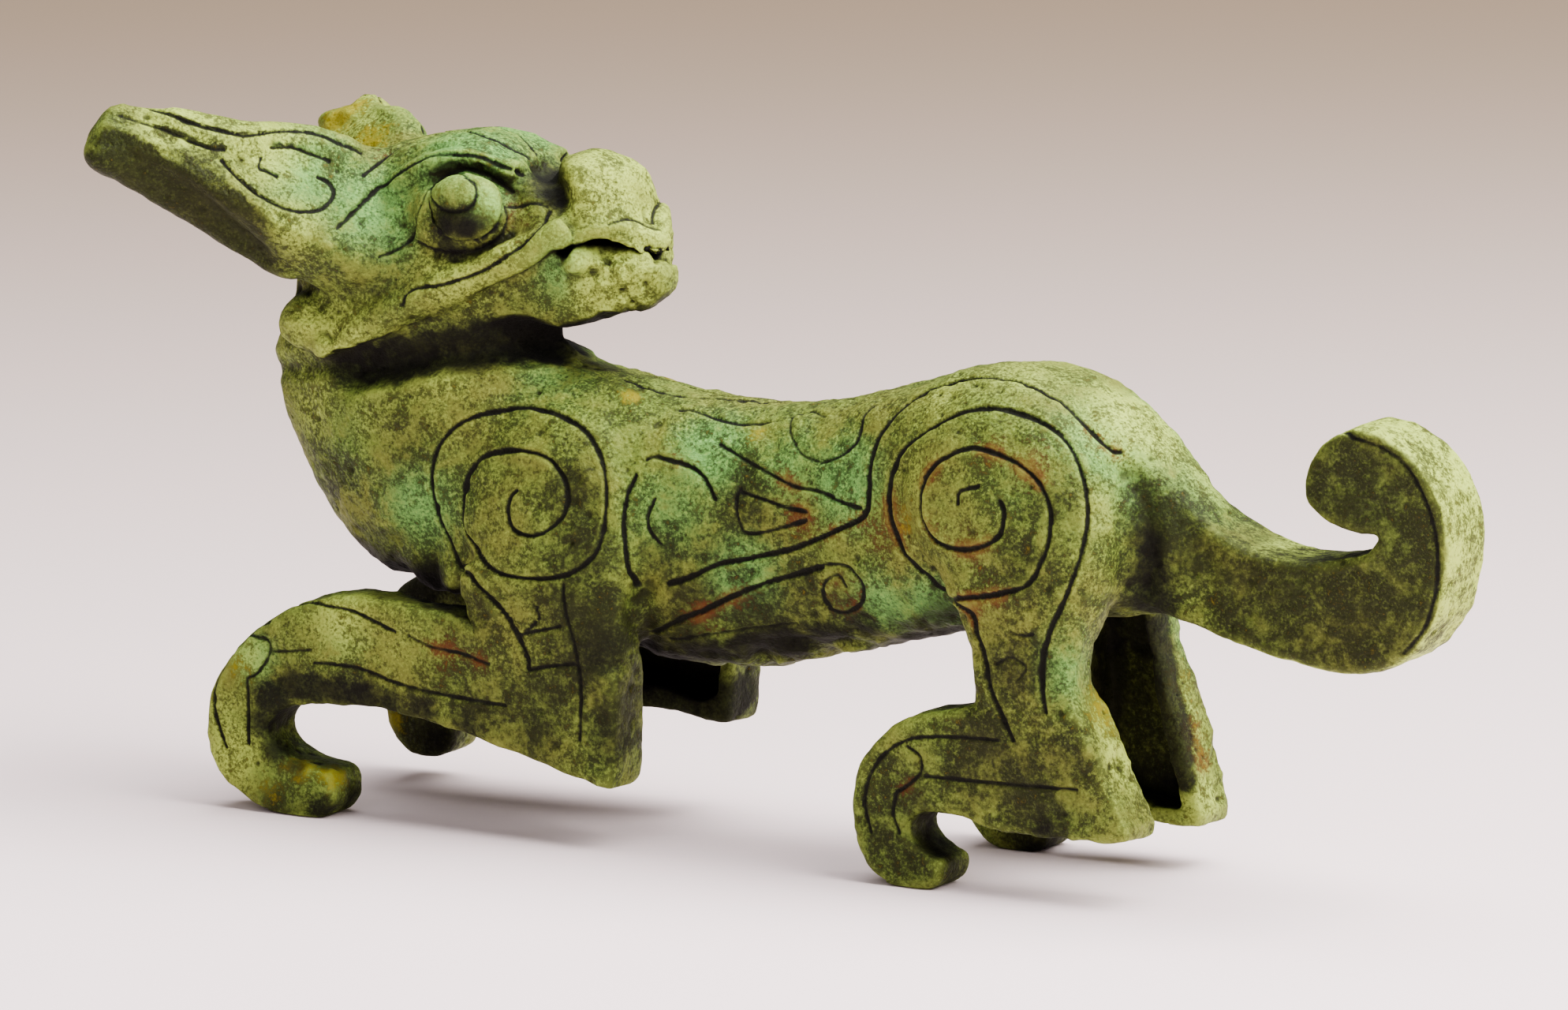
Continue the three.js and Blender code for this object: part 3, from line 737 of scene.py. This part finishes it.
def shape_broadly(bench):
    """Sockets, lips, ridges and creases, then the pulled places, on both sides."""
    skin = bench.skin
    normals = skin.normals(NORMAL_ROUNDS)
    moved = np.zeros(len(skin.points))
    for radius, height, places in SHAPING:
        for line in bench.both_sides(places, TOOL_STRIDE):
            moved += height * bench.stroke(line, radius)
    skin.points += normals * moved[:, None]
    soft = np.zeros(len(skin.points))
    for radius, shift, places in PULLS:
        for line in bench.both_sides(places, TOOL_STRIDE):
            skin.points += bench.stroke(line, radius)[:, None] * np.array(shift)
            soft = np.maximum(soft, bench.stroke(line, radius * SOFT_REACH))
    skin.points = skin.relax(skin.points, SMOOTH_SHARE * soft[:, None], SOFT_ROUNDS)


def pupil_places():
    """A ring of places around the pupil."""
    turns = [2 * math.pi * k / PUPIL_POINTS for k in range(PUPIL_POINTS + 1)]
    return [(PUPIL_AT[0] + PUPIL_WIDE * math.cos(t), PUPIL_AT[1] + PUPIL_HIGH * math.sin(t)) for t in turns]


def incise(bench):
    """Cuts every line and returns how dark each skin point is with its fill."""
    skin = bench.skin
    normals = skin.normals(LINE_NORMAL_ROUNDS)
    cut = np.zeros(len(skin.points))
    fill = np.zeros(len(skin.points))
    lines = [*BODY_LINES, *HIND_PAW_LINES, *HEAD_LINES, *HORN_LINES, *PAW_LINES, *TAIL_LINES,
             (FINE, pupil_places())]
    for (half_width, depth, dark), places in lines:
        for line in bench.both_sides(places):
            near = bench.nearness(line, half_width)
            cut = np.maximum(cut, depth * np.minimum(1.0, near * CUT_STEEP))
            fill = np.maximum(fill, dark * np.minimum(1.0, near * FILL_STEEP))
    fill *= LINE_EVEN + (1.0 - LINE_EVEN) * lattice_noise(skin.points, LINE_PATCH, SEED)
    swell = skin.relax(cut[:, None], SMOOTH_SHARE, RIM_ROUNDS) * LINE_SWELL
    skin.points += normals * (swell - cut[:, None])
    return fill


def soft_patches(bench, places, points):
    """Soft round patches at places in the photograph; those on the near side repeat on the far side."""
    mask = np.zeros(len(points))
    for across, down, radius, strength in places:
        spot = bench.cast((across, down))
        repeat = strength * FAR_SIDE_STRENGTH if spot.y < MIDDLE_Y else 0.0
        for centre, amount in ((spot, strength), (far_twin(spot), repeat)):
            gap = np.linalg.norm(points - np.array(centre), axis=1) / radius
            mask = np.maximum(mask, amount * np.exp(-gap * gap))
    return mask


def ragged_belly(points, normals):
    """1 on the belly's underside between the legs, 0 elsewhere."""
    x, y, z = points.T
    inside = (normals[:, 2] < RAGGED_FACE) & (np.abs(y - MIDDLE_Y) < RAGGED_HALF_Y) & (z > RAGGED_ABOVE)
    along = above(x, RAGGED_FROM_X, RAGGED_FADE_X) * below(x, RAGGED_TO_X, RAGGED_FADE_X)
    return inside * along * below(z, RAGGED_BELOW, RAGGED_FADE_Z)


def weather(bench):
    """Casting waves, crusts, small dents and the ragged edge under the belly."""
    skin = bench.skin
    normals = skin.normals(NORMAL_ROUNDS)
    moved = np.zeros(len(skin.points))
    for number, (cell, height) in enumerate(WAVES):
        moved += height * lattice_noise(skin.points, cell, SEED + number)
    moved *= CALM_SHARE + (1.0 - CALM_SHARE) * smoothing_shares(skin.points)[:, 0]
    crust = soft_patches(bench, CRUSTS, skin.points)
    for number, (cell, height) in enumerate(CRUST_LUMPS):
        moved += crust * height * lattice_noise(skin.points, cell, SEED + len(WAVES) + number)
    chance = np.random.default_rng(SEED)
    for index in chance.choice(len(skin.points), DENTS, replace=False):
        radius = chance.uniform(*DENT_RADIUS)
        depth = chance.uniform(*DENT_DEPTH)
        for _, spot, gap in bench.lookup.find_range(skin.points[index], radius):
            moved[spot] -= depth * (1.0 - (gap / radius) ** 2)
    bites = np.maximum(0.0, lattice_noise(skin.points, RAGGED_CELL, RAGGED_SEED))
    moved -= ragged_belly(skin.points, normals) * RAGGED_DEPTH * bites
    lift = normals * moved[:, None]
    lift[skin.points[:, 2] < STANDING_BELOW] = 0.0
    skin.points += lift


def hollowness(skin):
    """Concave places above 0 and convex places below 0, in millimetres."""
    soft = skin.relax(skin.points, SMOOTH_SHARE, HOLLOW_ROUNDS)
    return np.einsum("ij,ij->i", soft - skin.points, skin.normals(NORMAL_ROUNDS))


def kept_mesh(even, skin):
    """The worked skin with its flat places thinned out."""
    even.vertices.foreach_set("co", (skin.points / METRE).astype(np.float32).ravel())
    even.update()
    full = link(bpy.data.objects.new("full_skin", even))
    thin = full.modifiers.new("thin_out", "DECIMATE")
    thin.ratio = TRIANGLES_KEPT / (2 * len(even.polygons))
    thin.use_collapse_triangulate = True
    mesh = settled(full)
    mesh.name = "crouching_beast"
    return mesh


def even_directions(count):
    """Directions spread evenly over a ball."""
    k = np.arange(count) + 0.5
    height = 1.0 - 2.0 * k / count
    turn = k * math.pi * GOLDEN_SHARE
    flat = np.sqrt(1.0 - height * height)
    return np.stack([flat * np.cos(turn), flat * np.sin(turn), height], axis=1)


def shelter_mask(mesh, points, normals):
    """0 for an open place, 1 for a place closed in on all sides."""
    tree = BVHTree.FromPolygons(points.tolist(), faces_of(mesh).tolist())
    directions = even_directions(SHELTER_RAYS)
    open_share = normals @ directions.T
    starts = points + normals * SHELTER_LIFT
    blocked = np.zeros(len(points))
    for number, direction in enumerate(directions):
        ray = Vector(direction)
        for index in np.flatnonzero(open_share[:, number] > SHELTER_LEAST):
            if tree.ray_cast(starts[index], ray, SHELTER_REACH)[0] is not None:
                blocked[index] += open_share[index, number]
    felt = np.where(open_share > SHELTER_LEAST, open_share, 0.0).sum(axis=1)
    return blocked / felt


def painted_side_shade_and_back_light(points, normals):
    """Painted shade on the flat sides of the tail and horns, and painted light along the tail's back, by
    which way each point faces.
    """
    x, y, z = points.T
    sideways = np.abs(normals[:, 1])
    tail_side = above(x, TAIL_SIDE_FROM_X) * smooth_step(sideways, *TAIL_SIDE_TURN)
    band = above(x, TAIL_BAND_FROM_X) * smooth_step(-sideways, *TAIL_BAND_TURN)
    face = np.array(HORN_SIDE_FACE)
    away = np.where(y > MIDDLE_Y, -1.0, 1.0)
    turned = normals[:, 0] * face[0] + normals[:, 1] * away * face[1] + normals[:, 2] * face[2]
    horn = (below(x, HORN_SIDE_BELOW_X) * above(z, HORN_SIDE_ABOVE_Z, BLEND_WIDTH / 2)
            * smooth_step(turned, *HORN_SIDE_TURN))
    return np.maximum(tail_side * TAIL_SIDE_PAINTED_SHADE, horn * HORN_SIDE_PAINTED_SHADE), band


def store(mesh, name, values):
    """Keeps a mask with the mesh, one value a point."""
    attribute = mesh.attributes.new(name, "FLOAT", "POINT")
    attribute.data.foreach_set("value", values.astype(np.float32))


def make_beast():
    """The whole beast as one worked mesh that carries its masks."""
    even = fine_skin(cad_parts[NODE])
    skin = Skin(even)
    skin.points = skin.relax(skin.points, SMOOTH_SHARE * smoothing_shares(skin.points), SMOOTH_ROUNDS)
    shape_broadly(Bench(skin))
    bench = Bench(skin)
    fill = incise(bench)
    weather(bench)
    hollow = hollowness(skin)
    rim = skin.relax(fill[:, None], SMOOTH_SHARE, RIM_ROUNDS)[:, 0]
    mesh = kept_mesh(even, skin)
    kept = points_of(mesh)
    worked = skin.lookup()
    source = np.array([worked.find(point)[1] for point in kept.tolist()])
    normals = skin.normals()[source]
    masks = {name: soft_patches(bench, places, kept) for name, places in STAINS_AND_PAINTED_SHADE.items()}
    # Painted shade on the tail's and horns' flat sides goes into the umber mask, painted light along the
    # tail's back into the pale mask
    shaded_sides, band = painted_side_shade_and_back_light(kept, normals)
    masks["umber_and_shade"] = np.maximum(masks["umber_and_shade"], shaded_sides)
    masks["pale_and_lit"] = np.maximum(masks["pale_and_lit"] * np.maximum(0.0, 1.0 - shaded_sides), band)
    # Painted shade: darker where the beast closes a point in, and on surfaces that face down
    underside = np.maximum(0.0, -normals[:, 2])
    masks["shelter_shade"] = shelter_mask(mesh, kept, normals) + UNDERSIDE_PAINTED_SHADE * underside
    masks["groove"] = fill[source]
    masks["hollow"] = hollow[source]
    masks["rim"] = rim[source]
    for name, mask in masks.items():
        store(mesh, name, mask)
    mesh.shade_smooth()
    return link(bpy.data.objects.new("crouching_beast", mesh))


class Value:
    """A number that changes over the surface; sums and products add their own nodes."""

    def __init__(self, finish, socket):
        self.finish = finish
        self.socket = socket

    def __add__(self, other):
        return self.finish.math("ADD", self, other)

    def __sub__(self, other):
        return self.finish.math("SUBTRACT", self, other)

    def __rsub__(self, other):
        return self.finish.math("SUBTRACT", other, self)

    def __mul__(self, other):
        return self.finish.math("MULTIPLY", self, other)

    __radd__ = __add__
    __rmul__ = __mul__

    def band(self, low, high):
        """0 below low, 1 above high, smooth between."""
        made = self.finish.node("ShaderNodeMapRange", {"interpolation_type": "SMOOTHSTEP", "clamp": True},
                                {"Value": self, "From Min": low, "From Max": high})
        return Value(self.finish, made.outputs["Result"])

    def held(self):
        """Kept from 0 to 1."""
        return self.finish.math("ADD", self, 0.0, True)


class Finish:
    """A material and the nodes that paint it."""

    def __init__(self, name):
        self.material = bpy.data.materials.new(name)
        self.material.use_nodes = True
        self.tree = self.material.node_tree
        self.shader = self.tree.nodes["Principled BSDF"]

    def node(self, kind, settings, sockets):
        """A node of a kind with its settings, then the values or links of its sockets."""
        made = self.tree.nodes.new(kind)
        for name, value in settings.items():
            setattr(made, name, value)
        for key, value in sockets.items():
            self.feed(made.inputs[key], value)
        return made

    def feed(self, socket, value):
        """Links a value to a socket, or sets a plain number or colour there."""
        if isinstance(value, Value):
            value = value.socket
        if isinstance(value, bpy.types.NodeSocket):
            self.tree.links.new(value, socket)
        else:
            socket.default_value = value

    def surface(self, name, value):
        """Feeds one of the surface's own sockets."""
        self.feed(self.shader.inputs[name], value)

    def math(self, operation, a, b, clamp=False):
        """One sum, difference or product."""
        made = self.node("ShaderNodeMath", {"operation": operation, "use_clamp": clamp}, {0: a, 1: b})
        return Value(self, made.outputs["Value"])

    def mix(self, share, under, over):
        """One colour over another by a share."""
        made = self.node("ShaderNodeMix", {"data_type": "RGBA", "clamp_factor": True},
                         {0: share, 6: under, 7: over})
        return made.outputs[2]

    def mask(self, name):
        """A mask kept with the mesh."""
        made = self.node("ShaderNodeAttribute", {"attribute_name": name}, {})
        return Value(self, made.outputs["Fac"])

    def place(self):
        """The place on the object, in metres."""
        return self.node("ShaderNodeTexCoord", {}, {}).outputs["Object"]

    def noise(self, size, detail, rough, warp):
        """Cloudy noise from 0 to 1 with lumps of about the given size in millimetres."""
        sockets = {"Vector": self.place(), "Scale": METRE / size, "Detail": detail, "Roughness": rough,
                   "Distortion": warp}
        return Value(self, self.node("ShaderNodeTexNoise", {}, sockets).outputs["Fac"])

    def grains(self, size):
        """Distance from the middle of scattered grains, 0 at the middle."""
        sockets = {"Vector": self.place(), "Scale": METRE / size}
        return Value(self, self.node("ShaderNodeTexVoronoi", {}, sockets).outputs["Distance"])


def mixed_lumps(lumps, shares):
    """A sum of those lumps that have a share."""
    parts = [lump * share for lump, share in zip(lumps, shares) if share]
    total = parts[0]
    for part in parts[1:]:
        total = total + part
    return total


def patina():
    """Olive and leaf-green patina with jade, pale crust, umber, ochre and red-brown stains, darker in
    concave places, with painted shade under overhangs, on undersides and on the flat sides, and painted
    light along the tail's back and on rounded edges.
    """
    finish = Finish("patinated_bronze")
    lumps = [finish.noise(**lump) for lump in (CLOUD, BLOTCH, MOTTLE, SPECKLE)]
    _, blotch, mottle, _ = lumps
    ragged = mixed_lumps(lumps, RAGGED_MIX) - MEAN_LUMP
    broken = mixed_lumps(lumps, BROKEN_MIX) - MEAN_LUMP
    frayed = ragged * STAIN_RAGGED + broken * STAIN_BROKEN
    hollow = finish.mask("hollow")
    groove = finish.mask("groove")
    shelter_shade = finish.mask("shelter_shade")
    umber_and_shade = finish.mask("umber_and_shade").held()

    # The umber coat is dark patina with painted shade; the pale coat is pale crust with painted light
    coats = [((finish.mask(name) + ragged * spread).band(*COAT_BAND) * most, tone)
             for name, tone, spread, most in COATS]
    dark_spots = mixed_lumps(lumps, DARK_SPOT_MIX).band(*DARK_SPOT_BAND)
    coats.append((dark_spots * DARK_SPOT_MOST, UMBER))
    pale_spots = (1.0 - mixed_lumps(lumps, PALE_SPOT_MIX)).band(*PALE_SPOT_BAND)
    coats.append((pale_spots * (1.0 - umber_and_shade * PALE_SPOT_UMBER) * PALE_SPOT_MOST, PALE_GREEN))
    beside_lines = RUST_AWAY + finish.mask("rim").band(*RIM_BAND) * RUST_BESIDE
    coats.append(((finish.mask("rust") * beside_lines + frayed).band(*RUST_BAND) * RUST_MOST, RUST))
    coats.append(((finish.mask("ochre") + frayed).band(*OCHRE_BAND) * OCHRE_MOST, OCHRE))
    # Pale on rounded edges: rubbed wear with a painted highlight
    rubbed_and_highlit = (hollow * -1.0).band(*RUBBED_HIGHLIGHT_BAND)
    coats.append((rubbed_and_highlit * (1.0 - umber_and_shade) * RUBBED_HIGHLIGHT_MOST, PALE_GREEN))
    # Darker in concave places, with painted shade where the beast closes a point in and on surfaces that
    # face down
    hollow_dark_and_shelter_shade = hollow.band(*HOLLOW_BAND) * HOLLOW_MOST + shelter_shade.band(*SHELTER_BAND) * SHELTER_MOST
    coats.append((hollow_dark_and_shelter_shade.held(), UMBER))
    coats.append(((groove * (INK_LEAST + blotch * INK_BLOTCH)).band(*INK_BAND) * INK_MOST, GROOVE_FILL))
    # Painted shade: near-black where the beast closes a point in deeply, and at the listed places under the
    # jaw, in the armpit, in leg hollows and under the belly
    listed_deep_shade = (finish.mask("deep_shade") + ragged * DEEP_SHADE_RAGGED).band(*DEEP_SHADE_BAND) * DEEP_SHADE_MOST
    deep_shade = (shelter_shade.band(*DEEP_SHELTER_BAND) + listed_deep_shade).held()
    coats.append((deep_shade, DEEP_SHADE_TONE))

    green = mixed_lumps(lumps, GREEN_MIX).band(*GREEN_BAND)
    colour = finish.mix(green, daylight(OLIVE), daylight(LEAF_GREEN))
    for share, tone in coats:
        colour = finish.mix(share, colour, daylight(tone))
    rough = ROUGH_LEAST + mottle * ROUGH_MOTTLE + groove * ROUGH_GROOVE + deep_shade * ROUGH_DEEP_SHADE
    height = mixed_lumps(lumps, BUMP_MIX) - finish.grains(GRAIN).band(*GRAIN_BAND) * BUMP_GRAIN
    bump = finish.node("ShaderNodeBump", {},
                       {"Height": height, "Strength": BUMP_STRENGTH, "Distance": BUMP_HEIGHT})
    finish.surface("Base Color", colour)
    finish.surface("Roughness", rough.held())
    finish.surface("Metallic", BRONZE_METAL)
    finish.surface("Specular IOR Level", BRONZE_GLOSS)
    finish.surface("Normal", bump.outputs["Normal"])
    return finish.material


def floor():
    """A wide pale floor whose colour darkens towards the back, painted shade standing in for the light
    falling off.
    """
    mesh = bpy.data.meshes.new("pale_floor")
    corners = [(-FLOOR_HALF, -FLOOR_HALF, 0), (FLOOR_HALF, -FLOOR_HALF, 0), (FLOOR_HALF, FLOOR_HALF, 0),
               (-FLOOR_HALF, FLOOR_HALF, 0)]
    mesh.from_pydata(corners, [], [(0, 1, 2, 3)])
    made = link(bpy.data.objects.new("pale_floor", mesh))
    finish = Finish("pale_paper")
    away = finish.node("ShaderNodeVectorMath", {"operation": "DOT_PRODUCT"},
                       {0: finish.place(), 1: (-math.sin(CAMERA_TURN), math.cos(CAMERA_TURN), 0.0)})
    share = Value(finish, away.outputs["Value"]).band(FLOOR_NEAR, FLOOR_FAR)
    finish.surface("Base Color", finish.mix(share, daylight(FLOOR_FRONT), daylight(FLOOR_BACK)))
    finish.surface("Roughness", FLOOR_ROUGH)
    finish.surface("Specular IOR Level", FLOOR_GLOSS)
    mesh.materials.append(finish.material)


def lamp(name, turn, rise, away, across, watts, tone):
    """A soft round lamp turned to the beast."""
    data = bpy.data.lights.new(name, "AREA")
    data.shape = "DISK"
    data.size = across
    data.energy = watts
    data.color = tone
    made = link(bpy.data.objects.new(name, data))
    aim(made, standing_off(math.radians(turn), math.radians(rise)), away)


def room():
    """Even light from all around."""
    world = bpy.data.worlds.new("soft_room")
    world.use_nodes = True
    shade = world.node_tree.nodes["Background"]
    shade.inputs["Color"].default_value = ROOM_TONE
    shade.inputs["Strength"].default_value = ROOM_STRENGTH
    bpy.context.scene.world = world


def camera():
    """The photograph's view."""
    data = bpy.data.cameras.new("photo_view")
    data.lens = CAMERA_LENS
    data.sensor_width = CAMERA_SENSOR
    made = link(bpy.data.objects.new("photo_view", data))
    aim(made, view_axes()[0], CAMERA_DISTANCE)
    bpy.context.scene.camera = made


camera()
beast = make_beast()
beast.data.materials.append(patina())
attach(beast, "root")
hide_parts(NODE)
floor()
for lamp_name, lamp_values in LAMPS.items():
    lamp(lamp_name, **lamp_values)
room()
